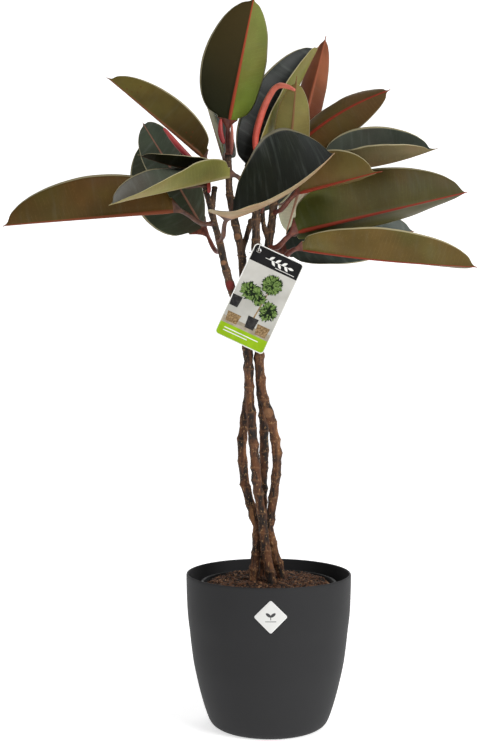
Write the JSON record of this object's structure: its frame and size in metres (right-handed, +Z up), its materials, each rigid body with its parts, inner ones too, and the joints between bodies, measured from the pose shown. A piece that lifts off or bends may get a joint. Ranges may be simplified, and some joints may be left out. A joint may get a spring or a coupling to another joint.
{
  "type": "potted rubber plant",
  "caption": "Potted live rubber plant: braided woody stems carry broad pointed leaves above a round tapered pot, with a hanging plant label.",
  "frame": {"origin": "centre of the cover pot's flat underside, on the pot's axis", "axes": "+Z up along the pot's axis; -Y towards the front, where the plant label and the pot's sticker are; +X to the right seen from the front"},
  "size_m": [0.6125, 0.3943, 0.9536],
  "materials": {
    "pot_plastic": "satin dark grey injection-moulded pot",
    "grow_pot_plastic": "thin black grower's pot",
    "soil": null,
    "bark": "brown ringed bark with pale flecks",
    "leaf_dark": null,
    "leaf_olive": null,
    "leaf_orange": null,
    "sheath_red": null,
    "sheath_coral": null,
    "tag_card": "printed plastic plant label",
    "sticker_paper": "pale grey label with a white edge",
    "tie_wire": "thin plastic-coated tie"
  },
  "bodies": {
    "root": {"cover_pot": "pot_plastic", "nursery_pot": "grow_pot_plastic", "soil": "soil", "stem_left": "bark", "stem_middle_left": "bark", "stem_middle_right": "bark", "stem_right": "bark", "leaf_low_left": "leaf_olive", "leaf_upper_left": "leaf_olive", "leaf_front_left": "leaf_dark", "leaf_edge_left": "leaf_olive", "leaf_behind_left": "leaf_dark", "leaf_far_left": "leaf_dark", "leaf_behind_top": "leaf_dark", "leaf_top": "leaf_olive", "leaf_back_upright": "leaf_dark", "leaf_young_green": "leaf_olive", "leaf_front": "leaf_dark", "leaf_front_right": "leaf_olive", "leaf_upper_right": "leaf_olive", "leaf_young_orange": "leaf_orange", "leaf_mid_right": "leaf_dark", "leaf_low_right": "leaf_olive", "leaf_lowest_right": "leaf_olive", "leaf_far_right": "leaf_dark", "leaf_back_hanging": "leaf_dark", "leaf_back_low": "leaf_dark", "sheath_left": "sheath_red", "sheath_centre": "sheath_coral", "bud_top": "sheath_red", "sheath_top": "sheath_coral", "bud_left": "sheath_red", "pot_sticker": "sticker_paper", "plant_tag": "tag_card", "tag_tie": "tie_wire"}
  },
  "joints": []
}
